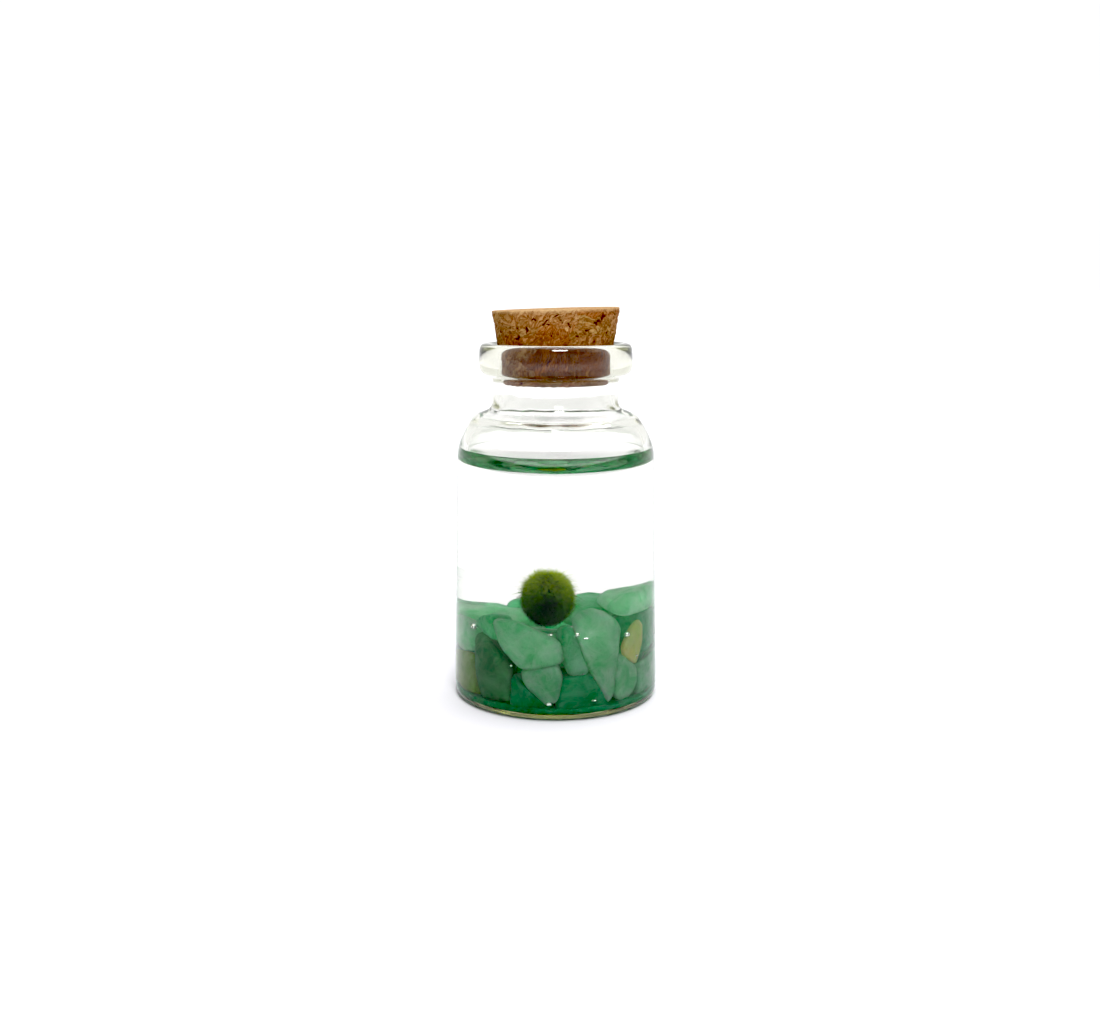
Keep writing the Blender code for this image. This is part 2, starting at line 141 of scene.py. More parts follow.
def water_edge(slope):
    """Distance from the glass and height over the level where the water has a slope."""
    def reach(t):
        return -math.log(math.tan(t / 4)) - 2 * math.cos(t / 2)

    top, t = math.radians(CONTACT_SLOPE), math.radians(slope)
    return CAPILLARY_LENGTH * (reach(t) - reach(top)), CAPILLARY_LENGTH * 2 * math.sin(t / 2)


CONTACT_HEIGHT = WATER_LEVEL + water_edge(CONTACT_SLOPE)[1]
CONTACT_RADIUS = 9.50
outside = rounded([(0.0, 0.12), (7.5, 0.10), (9.3, 0.04), (9.95, 0.0), (10.55, 0.05),
                   (10.98, 0.42), (BASE_RADIUS, 1.2), (BASE_RADIUS, 2.4),
                   (10.75, 16.0), (BODY_TOP_RADIUS, 25.8), (10.52, 26.8), (10.24, 27.8),
                   (9.82, 28.7), (9.28, 29.65), (8.80, 30.38), (8.45, 30.62),
                   (7.90, 30.82), (7.20, 31.10), (6.84, 31.45), (6.72, 32.1), (6.70, 33.2),
                   (6.72, 34.55), (7.35, 34.75), (7.95, 35.05), (8.17, 35.7),
                   (8.17, 37.3), (7.95, 38.00), (7.45, MOUTH_HEIGHT)])
wetted = rounded([(0.0, FLOOR_HEIGHT), (9.1, FLOOR_HEIGHT), (9.8, FLOOR_HEIGHT + 0.12),
                  (10.14, FLOOR_HEIGHT + 0.7), (10.14, 3.5), (9.83, 16.0), (9.67, 24.6),
                  (9.62, 26.1), (CONTACT_RADIUS, CONTACT_HEIGHT)])
dry_inside = rounded([(CONTACT_RADIUS, CONTACT_HEIGHT), (9.36, 27.6), (9.02, 28.35),
                      (8.56, 29.15), (8.05, 29.78), (7.20, 30.22), (6.45, 30.95),
                      (6.05, 31.7), (5.90, 32.6), (5.88, 33.2), (5.96, 34.8),
                      (6.27, 37.4), (6.46, 37.93), (7.00, MOUTH_HEIGHT)])


def shoulder_wave(angle, height):
    """Unevenness of the glass where the neck was drawn in, in millimetres."""
    near = math.exp(-((height - DRAWN_IN_HEIGHT) / DRAWN_IN_REACH) ** 2)
    return near * (0.050 * math.sin(3 * angle + 0.6) + 0.035 * math.sin(7 * angle + 2.0)
                   + 0.020 * math.sin(15 * angle + 3.0 * height))


glass_jar = turned("glass_jar", outside + dry_inside[::-1] + wetted[::-1][1:], JAR_SIDES,
                   shoulder_wave)

# soda-lime glass, moulded: colourless through the wall, and olive-gold along the base
# and the bead, where iron in a long way of glass shows. Against the water its face
# bends light only by the ratio of the two, so that face all but vanishes.
soda_lime = new_material("soda_lime_glass_moulded", {
    "Base Color": linear("#ffffff"), "Roughness": 0.0, "IOR": GLASS_IOR,
    "Transmission Weight": 1.0})
wetted_share = add_node(soda_lime, "ShaderNodeAttribute", {"attribute_name": "wetted"})
wetted_ior = add_node(soda_lime, "ShaderNodeMapRange",
                      {"To Min": GLASS_IOR, "To Max": GLASS_IOR / WATER_IOR},
                      {"Value": (wetted_share, "Fac")})
iron_cast = add_node(soda_lime, "ShaderNodeVolumeAbsorption",
                     {"Color": linear("#ced1a6"), "Density": 100.0})
links = soda_lime.node_tree.links
glass_shader = soda_lime.node_tree.nodes["Principled BSDF"]
glass_output = soda_lime.node_tree.nodes["Material Output"]
links.new(wetted_ior.outputs["Result"], glass_shader.inputs["IOR"])
links.new(iron_cast.outputs["Volume"], glass_output.inputs["Volume"])
glass_jar.data.materials.append(soda_lime)
# the outline runs over the outside and the dry inside first, and then down the wetted part
dry_faces = (len(outside) + len(dry_inside) - 1) * JAR_SIDES
wetted_faces = glass_jar.data.attributes.new("wetted", "FLOAT", "FACE")
wetted_faces.data.foreach_set("value", [float(face.index >= dry_faces)
                                        for face in glass_jar.data.polygons])
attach(glass_jar, "root")
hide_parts("glass_bottle")

# ---------------------------------------------------------------- aventurine chips
# The bed is a loose heap of tumbled aventurine: quartz coloured green by fine mica, in
# tones from milky to bottle green, with two yellow-beige ones. Tumbling left each chip
# its flats and wore its edges round. The solids are the model's own, worn smooth.
CHIP_GRID = 0.13            # mm, the mesh that the wear is worked out on
TONE_DEPTH = 4              # mm of stone that the shares below are for
AVENTURINE_IOR = 1.54
CHIP_TONES = {              # clear stone and milky clouds, and the share of light let through
    "aventurine_pale": ("#7ed8a2", "#d8fce6", (0.72, 0.98, 0.81)),
    "aventurine_mid": ("#50c886", "#b4f0d0", (0.44, 0.89, 0.62)),
    "aventurine_deep": ("#0cb460", "#60dca4", (0.11, 0.75, 0.42)),
    "aventurine_dark": ("#3c9c5a", "#80c892", (0.28, 0.64, 0.38)),
    "aventurine_olive": ("#86bc48", "#b6dc78", (0.54, 0.84, 0.30)),
    "aventurine_sand": ("#e6ee90", "#f8fac0", (0.92, 0.96, 0.54)),
}
slot_of = {entry["node"]: entry["material_slot"] for entry in frame["record"]["subparts"]}


def aventurine(name, tones, seed):
    """Aventurine, tumbled and wet: green quartz that lets half the light through and
    scatters the rest in milky clouds, with little gloss because water bends light
    nearly as much as it does."""
    clear, milk, let_through = tones
    material = new_material(name, {
        "Roughness": 0.42, "IOR": AVENTURINE_IOR / WATER_IOR, "Subsurface Weight": 1.0,
        "Subsurface Radius": (0.9, 1.6, 1.2), "Subsurface Scale": MM,
        "Transmission Weight": 0.65})
    shader = material.node_tree.nodes["Principled BSDF"]
    links = material.node_tree.links
    place = add_node(material, "ShaderNodeTexCoord")
    # each chip shows another place of the stone
    in_mm = add_node(material, "ShaderNodeMapping",
                     {"Scale": (1 / MM, 1 / MM, 1 / MM), "Location": (seed * 3.1, seed * 1.7, 0)},
                     {"Vector": (place, "Object")})
    # milky clouds about 2 mm across
    clouds = add_node(material, "ShaderNodeTexNoise",
                      {"Scale": 0.45, "Detail": 5.0, "Roughness": 0.6, "Distortion": 0.6},
                      {"Vector": (in_mm, "Vector")})
    ramp = add_node(material, "ShaderNodeValToRGB", links={"Fac": (clouds, "Fac")})
    ramp.color_ramp.elements[0].position = 0.35
    ramp.color_ramp.elements[0].color = linear(clear)
    ramp.color_ramp.elements[1].position = 0.70
    ramp.color_ramp.elements[1].color = linear(milk)
    # healed cracks: faint milky lines that wander through the stone
    cracks = add_node(material, "ShaderNodeTexNoise",
                      {"Scale": 0.32, "Detail": 2.0, "Roughness": 0.5, "Distortion": 1.2},
                      {"Vector": (in_mm, "Vector")})
    off_line = add_node(material, "ShaderNodeMath", {"operation": "SUBTRACT", 1: 0.5},
                        {0: (cracks, "Fac")})
    distance = add_node(material, "ShaderNodeMath", {"operation": "ABSOLUTE"},
                        {0: (off_line, "Value")})
    line_share = add_node(material, "ShaderNodeMapRange",
                          {"From Min": 0.0, "From Max": 0.018, "To Min": 0.35, "To Max": 0.0},
                          {"Value": (distance, "Value")})
    veined = add_node(material, "ShaderNodeMix", {"data_type": "RGBA"})
    links.new(line_share.outputs["Result"], veined.inputs[0])
    links.new(ramp.outputs["Color"], veined.inputs[6])
    veined.inputs[7].default_value = linear(milk)
    # specks of mica, 0.15 mm across and darker than the stone
    specks = add_node(material, "ShaderNodeTexNoise",
                      {"Scale": 6.0, "Detail": 2.0, "Roughness": 0.5},
                      {"Vector": (in_mm, "Vector")})
    speck_share = add_node(material, "ShaderNodeMapRange",
                           {"From Min": 0.60, "From Max": 0.78, "To Min": 0.0, "To Max": 0.35},
                           {"Value": (specks, "Fac")})
    flecked = add_node(material, "ShaderNodeMix", {"data_type": "RGBA"})
    links.new(speck_share.outputs["Result"], flecked.inputs[0])
    links.new(veined.outputs[2], flecked.inputs[6])
    flecked.inputs[7].default_value = linear("#1f4a30")
    links.new(flecked.outputs[2], shader.inputs["Base Color"])
    # the skin that the tumbler's grit leaves, drawn at 0.2 mm so that it shows
    skin = add_node(material, "ShaderNodeTexNoise",
                    {"Scale": 4.0, "Detail": 4.0, "Roughness": 0.6},
                    {"Vector": (in_mm, "Vector")})
    bump = add_node(material, "ShaderNodeBump", {"Strength": 0.35, "Distance": 0.04 * MM},
                    {"Height": (skin, "Fac")})
    links.new(bump.outputs["Normal"], shader.inputs["Normal"])
    # the stone's own green, deeper the further light goes through it
    loss = [-math.log(share) / (TONE_DEPTH * MM) for share in let_through]
    stone = add_node(material, "ShaderNodeVolumeAbsorption",
                     {"Color": [1 - part / max(loss) for part in loss] + [1.0],
                      "Density": max(loss)})
    output = material.node_tree.nodes["Material Output"]
    links.new(stone.outputs["Volume"], output.inputs["Volume"])
    return material


# shallow hollows about 2 mm across, which the tumbler leaves
hollows = bpy.data.textures.new("chip_hollows", "CLOUDS")
hollows.noise_scale = 2.2 * MM
hollows.noise_depth = 2
chip_nodes = sorted(name for name in frame["nodes"] if name.startswith("chip_"))
for seed, name in enumerate(chip_nodes):
    chip = frame["nodes"][name]
    tone = slot_of[name]
    weld = chip.modifiers.new("joined", "WELD")
    weld.merge_threshold = 0.001 * MM
    grid = chip.modifiers.new("grid", "REMESH")
    grid.mode = "VOXEL"
    grid.voxel_size = CHIP_GRID * MM
    grid.use_smooth_shade = True
    worn = chip.modifiers.new("worn", "SMOOTH")
    worn.factor = 0.5
    worn.iterations = 10
    fuller = chip.modifiers.new("fuller", "DISPLACE")
    fuller.strength = 0.12 * MM
    fuller.mid_level = 0.0
    dents = chip.modifiers.new("dents", "DISPLACE")
    dents.texture = hollows
    dents.texture_coords = "LOCAL"
    dents.strength = 0.16 * MM
    dents.mid_level = 0.55
    chip.data.materials.clear()
    chip_number = name[5:7]
    chip.data.materials.append(aventurine(tone + "_" + chip_number, CHIP_TONES[tone], seed))

# the smallest splinters and grit have sifted down and lie on the floor of the jar
GRIT_SEED = 40
GRIT_TOP = 0.6              # mm over the floor, above which the layer is uneven
grit_rings = [(0.0, 0.04), (9.3, 0.04), (9.85, 0.14), (10.04, 0.36), (10.06, 0.62)]
grit_rings += [(9.9 - 0.33 * i, 0.66) for i in range(30)] + [(0.0, 0.66)]
chip_grit = turned("chip_grit", [(r, FLOOR_HEIGHT + z) for r, z in grit_rings], JAR_SIDES)
for vert in chip_grit.data.vertices:
    if vert.co.z > (FLOOR_HEIGHT + GRIT_TOP) * MM:
        spot = vert.co / MM
        vert.co.z += (0.30 * noise.noise(spot * 1.1) + 0.14 * noise.noise(spot * 3.1)) * MM
chip_grit.data.materials.append(
    aventurine("aventurine_grit", CHIP_TONES["aventurine_deep"], GRIT_SEED))
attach(chip_grit, "root")

# ---------------------------------------------------------------- moss ball
# The marimo is one growth: fine alga filaments, felted together into a ball by rolling
# on a lake bed. The middle is packed and dark; the loose filament ends round it let the
# light through. It lies in a dip of the chips.
ball_low, ball_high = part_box("marimo_moss_ball")
BALL_CENTRE = Vector([(low + high) / 2 / MM for low, high in zip(ball_low, ball_high)])
BALL_CENTRE.x -= 0.2        # mm, where the photo's view has it
BALL_HALF = [(high - low) / 2 / MM for low, high in zip(ball_low, ball_high)]
FELT_SHARE = 0.80           # of the ball's size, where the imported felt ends
FILAMENTS = 15000
FILAMENT_RADIUS = 0.017     # mm; real ones are half that, drawn wide enough to show
FILAMENT_STEPS = 2
FOOT_SPREAD = 0.20          # how much fuller the felt is right under the ball
STRAY_SHARE = 0.04          # of the filaments stand out long
GOLDEN_ANGLE = 2.399963     # radians, which spaces the roots evenly


def lumpy(way):
    """How far the felt reaches along a direction, as a share of its mean size."""
    sagging = FOOT_SPREAD * max(0.0, -way.z - 0.1) ** 0.6      # from its own weight
    return 1.0 + sagging + 0.07 * noise.noise(way * 2.3) + 0.03 * noise.noise(way * 6.0)


def ball_point(way, share):
    """The point of the ball along a direction, at a share of its full size."""
    reach = share * lumpy(way)
    return BALL_CENTRE + Vector([way[i] * BALL_HALF[i] * reach for i in range(3)])


felt_mesh = bmesh.new()
bmesh.ops.create_icosphere(felt_mesh, subdivisions=6, radius=1.0)
for vert in felt_mesh.verts:
    way = vert.co.normalized()
    tuft = 0.02 * noise.noise(way * 22.0) + 0.02 * noise.noise(way * 45.0)
    vert.co = ball_point(way, FELT_SHARE + tuft) * MM
mesh = bpy.data.meshes.new("moss_felt")
felt_mesh.to_mesh(mesh)
felt_mesh.free()
mesh.shade_smooth()
moss_felt = bpy.data.objects.new("moss_felt", mesh)
bpy.context.scene.collection.objects.link(moss_felt)

rng = random.Random(17)
points, faces, lights = [], [], []
PACKED_SHADED_PATCH = Vector((0.02, -0.98, -0.16))      # middle of the close felt in front, shorter and painted dark as shade
PACKED_REACH = 0.48         # of the ball's size


def add_filament(root, start_way, length, bend, light):
    """A thin three-sided tapered tube that bends as it goes, lighter towards its tip."""
    at, way = root.copy(), start_way.normalized()
    side = way.orthogonal().normalized()
    first = len(points)
    for step in range(FILAMENT_STEPS + 1):
        share = step / FILAMENT_STEPS
        width = FILAMENT_RADIUS * (1.0 - 0.75 * share)
        other = way.cross(side).normalized()
        for k in range(3):
            a = 2 * math.pi * k / 3
            points.append((at + side * width * math.cos(a) + other * width * math.sin(a)) * MM)
            lights.append(light * (0.3 + 0.9 * share))
        at = at + way * (length / FILAMENT_STEPS)
        way = (way + bend * (1.0 / FILAMENT_STEPS)).normalized()
        side = (side - way * side.dot(way)).normalized()
    for step in range(FILAMENT_STEPS):
        for k in range(3):
            low, high = first + 3 * step, first + 3 * (step + 1)
            faces.append((low + k, low + (k + 1) % 3, high + (k + 1) % 3, high + k))
    end = first + 3 * FILAMENT_STEPS
    faces.append((end, end + 1, end + 2))


for i in range(FILAMENTS):
    up = 1.0 - 2.0 * (i + 0.5) / FILAMENTS
    turn = GOLDEN_ANGLE * i
    flat = math.sqrt(1.0 - up * up)
    way = Vector((flat * math.cos(turn), flat * math.sin(turn), up))
    root = ball_point(way, FELT_SHARE - 0.03)
    # rolled felt lies over: its ends trail down the sides, and stand up on top
    down = Vector((way.x * up, way.y * up, -flat * flat)).normalized()
    along = down * 1.2 + Vector([rng.gauss(0, 0.8) for _ in range(3)])
    along = (along - way * along.dot(way)).normalized()
    lean = rng.uniform(0.3, 2.2) * min(1.0, 1.3 - 0.8 * max(0.0, up))
    length = rng.uniform(0.5, 0.95) * (1.0 + 0.5 * min(0.0, up + 0.2))
    if rng.random() < STRAY_SHARE and up > -0.2:
        length, lean = rng.uniform(1.0, 1.6), rng.uniform(0.1, 0.9)
    bend = Vector([rng.gauss(0, 0.4) for _ in range(3)]) - way * 0.55
    # painted light and shade: filaments are coloured lighter on top and on the right, as if lit
    # from above right, and the close patch in front is shorter and coloured dark as painted shade
    packed_and_shaded = math.exp(-((way - PACKED_SHADED_PATCH).length / PACKED_REACH) ** 2)
    light = 0.36 + (0.46 if up > 0.0 else 0.28) * up + 0.12 * way.x - 0.42 * packed_and_shaded
    light = min(1.0, max(0.0, light + rng.gauss(0, 0.10)))
    add_filament(root, way + along * lean, length * (1.0 - 0.45 * packed_and_shaded), bend, light)
mesh = bpy.data.meshes.new("moss_filaments")
mesh.from_pydata(points, [], faces)
mesh.shade_smooth()
mesh.attributes.new("light", "FLOAT", "POINT").data.foreach_set("value", lights)
moss_filaments = bpy.data.objects.new("moss_filaments", mesh)
bpy.context.scene.collection.objects.link(moss_filaments)

# alga felt, packed: almost no light comes back out of it
felt = new_material("alga_felt_packed", {"Roughness": 0.9, "Specular IOR Level": 0.0})
place = add_node(felt, "ShaderNodeTexCoord")
tufts = add_node(felt, "ShaderNodeTexNoise", {"Scale": 2.5 / MM, "Detail": 4.0},
                 {"Vector": (place, "Object")})
felt_ramp = add_node(felt, "ShaderNodeValToRGB", links={"Fac": (tufts, "Fac")})
felt_ramp.color_ramp.elements[0].position = 0.35
felt_ramp.color_ramp.elements[0].color = linear("#061404")
felt_ramp.color_ramp.elements[1].position = 0.75
felt_ramp.color_ramp.elements[1].color = linear("#1c3804")
felt.node_tree.links.new(felt_ramp.outputs["Color"],
                         felt.node_tree.nodes["Principled BSDF"].inputs["Base Color"])
moss_felt.data.materials.append(felt)

# alga filaments, loose: thin enough to glow yellow-green where light falls through
strand = new_material("alga_filament_loose", {
    "Roughness": 0.6, "Specular IOR Level": 0.0, "Subsurface Weight": 0.4,
    "Subsurface Radius": (0.2, 0.35, 0.05), "Subsurface Scale": MM})
# painted light and shade: the filament colour runs from dark to yellow-green with the painted light
# that each filament carries
filament_painted_light = add_node(strand, "ShaderNodeAttribute", {"attribute_name": "light"})
strand_ramp = add_node(strand, "ShaderNodeValToRGB", links={"Fac": (filament_painted_light, "Fac")})
strand_ramp.color_ramp.elements[0].position = 0.0
strand_ramp.color_ramp.elements[0].color = linear("#0a2602")
strand_ramp.color_ramp.elements[1].position = 0.9
strand_ramp.color_ramp.elements[1].color = linear("#b8dc24")
for position, colour in ((0.18, "#164004"), (0.42, "#42800a")):
    strand_ramp.color_ramp.elements.new(position).color = linear(colour)
strand.node_tree.links.new(strand_ramp.outputs["Color"],
                           strand.node_tree.nodes["Principled BSDF"].inputs["Base Color"])
moss_filaments.data.materials.append(strand)
for piece in (moss_felt, moss_filaments):
    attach(piece, "root")
    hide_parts("marimo_moss_ball")

# ---------------------------------------------------------------- water
# Still, clear water fills the jar to below the shoulder and climbs the glass all round
# by its surface tension, in the curved rim that mirrors the chips as a green band.
# Against the glass it lies a hair inside it, and only the glass bends the light there.
HAIR = 0.012                # mm
edge_slopes = [CONTACT_SLOPE * (1 - i / 24) + 1.2 * i / 24 for i in range(25)]
surface = [(CONTACT_RADIUS - HAIR - away, WATER_LEVEL + up)
           for away, up in map(water_edge, edge_slopes)]
surface = [(r, z) for r, z in surface if r > 0.3] + [(0.0, WATER_LEVEL)]
against_glass = [(max(r - HAIR, 0.0), max(z, FLOOR_HEIGHT + HAIR)) for r, z in wetted]
water_outline = against_glass[:-1] + surface
clear_water = turned("clear_water", water_outline, JAR_SIDES)

# water, still: a mirror-smooth surface, faint until it is looked at from below
open_water = new_material("water_surface", {
    "Base Color": linear("#ffffff"), "Roughness": 0.0, "IOR": WATER_IOR,
    "Transmission Weight": 1.0})
# water against glass: no face to be seen, because the jar's wetted face stands for it
held_water = new_material("water_against_glass", {
    "Base Color": linear("#ffffff"), "Roughness": 0.0, "IOR": 1.0,
    "Transmission Weight": 1.0})
clear_water.data.materials.append(open_water)
clear_water.data.materials.append(held_water)
held_faces = (len(against_glass) - 1) * JAR_SIDES
for face in clear_water.data.polygons:
    face.material_index = 1 if face.index < held_faces else 0
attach(clear_water, "root")
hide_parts("water")

# ---------------------------------------------------------------- air pockets
# Filling the jar left a few bubbles caught between the chips and the glass. Seen from
# outside, light is thrown back whole at their skin, so that they shine like silver.
AIR_POCKETS = [             # place, and half of the width, depth and height, in mm
    ((-8.15, -5.40, 8.65), (0.42, 0.30, 0.32)),
    ((-4.45, -8.90, 5.45), (0.12, 0.12, 0.12)),
    ((-0.55, -9.80, 9.00), (0.26, 0.10, 0.08)),
    ((2.10, -9.50, 8.90), (0.28, 0.22, 0.26)),
    ((2.85, -9.40, 8.50), (0.42, 0.12, 0.12)),
    ((7.05, -6.80, 8.20), (0.34, 0.25, 0.30)),
    ((8.05, -5.70, 5.60), (0.12, 0.12, 0.13)),
    ((2.65, -9.50, 4.75), (0.09, 0.09, 0.09)),
    ((-0.68, -9.65, 1.62), (0.34, 0.30, 0.34)),
    ((3.80, -9.20, 1.85), (0.26, 0.12, 0.09)),
]
LARGE_POCKET = 0.25         # mm; smaller ones are rounder
pocket_mesh = bmesh.new()
for spot, halves in AIR_POCKETS:
    bubble = bmesh.ops.create_icosphere(pocket_mesh, subdivisions=3, radius=1.0)["verts"]
    for vert in bubble:
        lumps = noise.noise(vert.co * 1.3 + Vector(spot))
        swell = 1.0 + 0.35 * lumps * min(1.0, halves[0] / LARGE_POCKET)
        vert.co = Vector([spot[i] + vert.co[i] * halves[i] * swell for i in range(3)]) * MM
mesh = bpy.data.meshes.new("air_pockets")
pocket_mesh.to_mesh(mesh)
pocket_mesh.free()
mesh.shade_smooth()
air_pockets = bpy.data.objects.new("air_pockets", mesh)
bpy.context.scene.collection.objects.link(air_pockets)
# air under water: a bright, clean mirror
mesh.materials.append(new_material("air_under_water", {
    "Base Color": linear("#f4faf6"), "Roughness": 0.08, "Metallic": 1.0}))
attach(air_pockets, "root")

# ---------------------------------------------------------------- cork
# The stopper is agglomerated cork: crushed bark pressed into a rod with glue, then cut
# and ground to a taper. Its side shows swirls of bark and pits where crumbs fell out, the
# pits painted dark as shade, and it was cut a little off square.
cork_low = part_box("cork_stopper")[0]
CORK_BOTTOM, CORK_TOP = cork_low.z / MM, 41.70
CORK_BOTTOM_RADIUS, CORK_TOP_RADIUS = 5.46, 6.75
CORK_SLANT = math.tan(math.radians(1.7))
CORK_SIDES, CORK_ROWS, CORK_RINGS = 540, 100, 26
PIT_DEPTH = 0.18            # mm
PIT_SPAN = (12.0, 1.0)      # degrees and mm from its middle, past which no pit reaches
# angle from the front, height over the cork's bottom, half width, half height, lean
PITS = [(-10, 6.48, 0.36, 0.13, 14), (5, 6.63, 0.22, 0.10, -30), (12, 6.27, 0.20, 0.14, -35),
        (30, 5.70, 0.32, 0.13, -25), (-38, 5.86, 0.20, 0.16, 0), (-39, 5.00, 0.34, 0.18, 10),
        (-28, 5.76, 0.13, 0.34, 0), (-46, 5.86, 0.13, 0.30, -10), (40, 6.53, 0.50, 0.16, 4),
        (46, 6.98, 0.26, 0.24, 30), (65, 7.30, 0.13, 0.50, 4), (2, 7.35, 0.34, 0.06, 8),
        (-66, 5.55, 0.20, 0.24, 0), (-4, 5.20, 0.30, 0.08, -20), (20, 5.00, 0.26, 0.08, 12),
        (-20, 6.90, 0.22, 0.06, 30), (55, 5.60, 0.12, 0.30, 20), (-55, 4.90, 0.14, 0.22, 0)]
cork_rng = random.Random(7)
PITS += [(cork_rng.uniform(75, 285), cork_rng.uniform(0.4, 7.4), cork_rng.uniform(0.12, 0.45),
          cork_rng.uniform(0.06, 0.25), cork_rng.uniform(-40, 40)) for _ in range(56)]
PITS += [(cork_rng.uniform(-75, 75), cork_rng.uniform(0.3, 4.2), cork_rng.uniform(0.12, 0.40),
          cork_rng.uniform(0.06, 0.20), cork_rng.uniform(-40, 40)) for _ in range(6)]
noise.seed_set(4)           # or else noise_vector starts from the clock


def pit_depth(angle, height, radius):
    """0 on whole cork, up to 1 in the middle of a pit."""
    depth = 0.0
    for at, up, half_width, half_height, lean in PITS:
        across = (angle - at + 180.0) % 360.0 - 180.0
        if abs(across) > PIT_SPAN[0] or abs(height - up) > PIT_SPAN[1]:
            continue
        x, z = math.radians(across) * radius, height - up
        ragged = noise.noise_vector(Vector((x * 2.6, z * 2.6, at)))
        fine = noise.noise_vector(Vector((x * 7.0, z * 7.0, at)))
        x, z = x + 0.34 * ragged.x + 0.10 * fine.x, z + 0.34 * ragged.y + 0.10 * fine.y
        c, s = math.cos(math.radians(lean)), math.sin(math.radians(lean))
        u, v = (x * c + z * s) / half_width, (z * c - x * s) / half_height
        depth = max(depth, 1.1 - math.sqrt(u * u + v * v) + 0.6 * ragged.z)
    return min(1.0, max(0.0, depth * 3.0))


points, faces, pits = [], [], []
height_of_cork = CORK_TOP - CORK_BOTTOM
for row in range(CORK_ROWS + 1):
    up = row / CORK_ROWS * height_of_cork
    radius = CORK_BOTTOM_RADIUS + (CORK_TOP_RADIUS - CORK_BOTTOM_RADIUS) * row / CORK_ROWS
    for i in range(CORK_SIDES):
        a = 2 * math.pi * i / CORK_SIDES
        pit = pit_depth(math.degrees(a), up, radius)
        spot = Vector((radius * math.sin(a), -radius * math.cos(a), up))
        grain = 0.06 * noise.noise(spot * 0.9) + 0.07 * noise.noise(spot * 3.5)
        chipped = 0.28 * max(0.0, noise.noise(spot * 1.3 + Vector((7, 2, 4))) - 0.38)
        worn = 0.08 * max(0.0, 1.0 - min(up, height_of_cork - up) / 0.20) ** 2
        r = radius + grain - chipped - worn - PIT_DEPTH * pit
        tilt = CORK_SLANT * r * math.sin(a) * max(0.0, up / height_of_cork - 0.6) / 0.4
        tilt -= 0.10 * noise.noise(spot * 2.2) * max(0.0, 1.0 - up / 0.8)
        points.append((r * math.sin(a) * MM, -r * math.cos(a) * MM, (CORK_BOTTOM + up + tilt) * MM))
        pits.append(pit)
for row in range(CORK_ROWS):
    for i in range(CORK_SIDES):
        j = (i + 1) % CORK_SIDES
        low, high = row * CORK_SIDES, (row + 1) * CORK_SIDES
        faces.append((low + i, low + j, high + j, high + i))
for end, first, rim, turn_over in (("bottom", 0, CORK_BOTTOM_RADIUS, True),
                                   ("top", CORK_ROWS * CORK_SIDES, CORK_TOP_RADIUS, False)):
    outer = list(range(first, first + CORK_SIDES))
    for ring in range(1, CORK_RINGS + 1):
        share = 1.0 - ring / CORK_RINGS
        inner = []
        if share > 0.0:
            for i in range(CORK_SIDES):
                a = 2 * math.pi * i / CORK_SIDES
                x, y = rim * share * math.sin(a), -rim * share * math.cos(a)
                rough = noise.noise(Vector((x * 1.6, y * 1.6, first)))
                hole = max(0.0, noise.noise(Vector((x * 2.6, y * 2.6, 9.0 + first))) - 0.35) * 2.0
                z = (CORK_BOTTOM if turn_over else CORK_TOP + CORK_SLANT * x)
                z += (0.04 * rough - 0.5 * hole) * (-1 if turn_over else 1) * min(1.0, ring / 3)
                inner.append(len(points))
                points.append((x * MM, y * MM, z * MM))
                pits.append(min(1.0, hole * 2.0))
        else:
            inner = [len(points)] * CORK_SIDES
            points.append((0.0, 0.0, (CORK_BOTTOM if turn_over else CORK_TOP) * MM))
            pits.append(0.0)
        for i in range(CORK_SIDES):
            j = (i + 1) % CORK_SIDES
            corners = [outer[i], outer[j], inner[j], inner[i]]
            corners = corners[:3] if share == 0.0 else corners
            faces.append(tuple(corners[::-1] if turn_over else corners))
        outer = inner
mesh = bpy.data.meshes.new("cork_plug")
mesh.from_pydata(points, [], faces)
mesh.shade_smooth()
mesh.attributes.new("pit", "FLOAT", "POINT").data.foreach_set("value", pits)
cork_plug = bpy.data.objects.new("cork_plug", mesh)
bpy.context.scene.collection.objects.link(cork_plug)

# cork, agglomerated and ground: dull, with each crumb's growth lines in tan and
# red-brown turned its own way, and painted near black in the pits as shade
cork = new_material("cork_agglomerated", {"Roughness": 0.85, "Specular IOR Level": 0.15})
links = cork.node_tree.links
place = add_node(cork, "ShaderNodeTexCoord")
in_mm = add_node(cork, "ShaderNodeMapping", {"Scale": (1 / MM, 1 / MM, 1 / MM)},
                 {"Vector": (place, "Object")})
# everything is bent over 2.4 mm, as the press left it
bend = add_node(cork, "ShaderNodeTexNoise", {"Scale": 0.35, "Detail": 2.0},
                {"Vector": (in_mm, "Vector")})
bent = add_node(cork, "ShaderNodeVectorMath", {"operation": "MULTIPLY_ADD", 1: (2.4, 2.4, 2.4)},
                {0: (bend, "Color"), 2: (in_mm, "Vector")})
# crumbs of bark 3 mm long and half as thick, each lying its own way
flat = add_node(cork, "ShaderNodeMapping", {"Scale": (1.0, 1.0, 1.9)}, {"Vector": (bent, 0)})
crumbs = add_node(cork, "ShaderNodeTexVoronoi", {"Scale": 0.33}, {"Vector": (flat, "Vector")})
crumb_tone = add_node(cork, "ShaderNodeSeparateColor", links={"Color": (crumbs, "Color")})
lying = add_node(cork, "ShaderNodeVectorRotate", {"rotation_type": "EULER_XYZ"},
                 {"Vector": (bent, 0), "Rotation": (crumbs, "Color")})
apart = add_node(cork, "ShaderNodeVectorMath", {"operation": "MULTIPLY_ADD", 1: (9.0, 9.0, 9.0)},
                 {0: (crumbs, "Color"), 2: (lying, "Vector")})
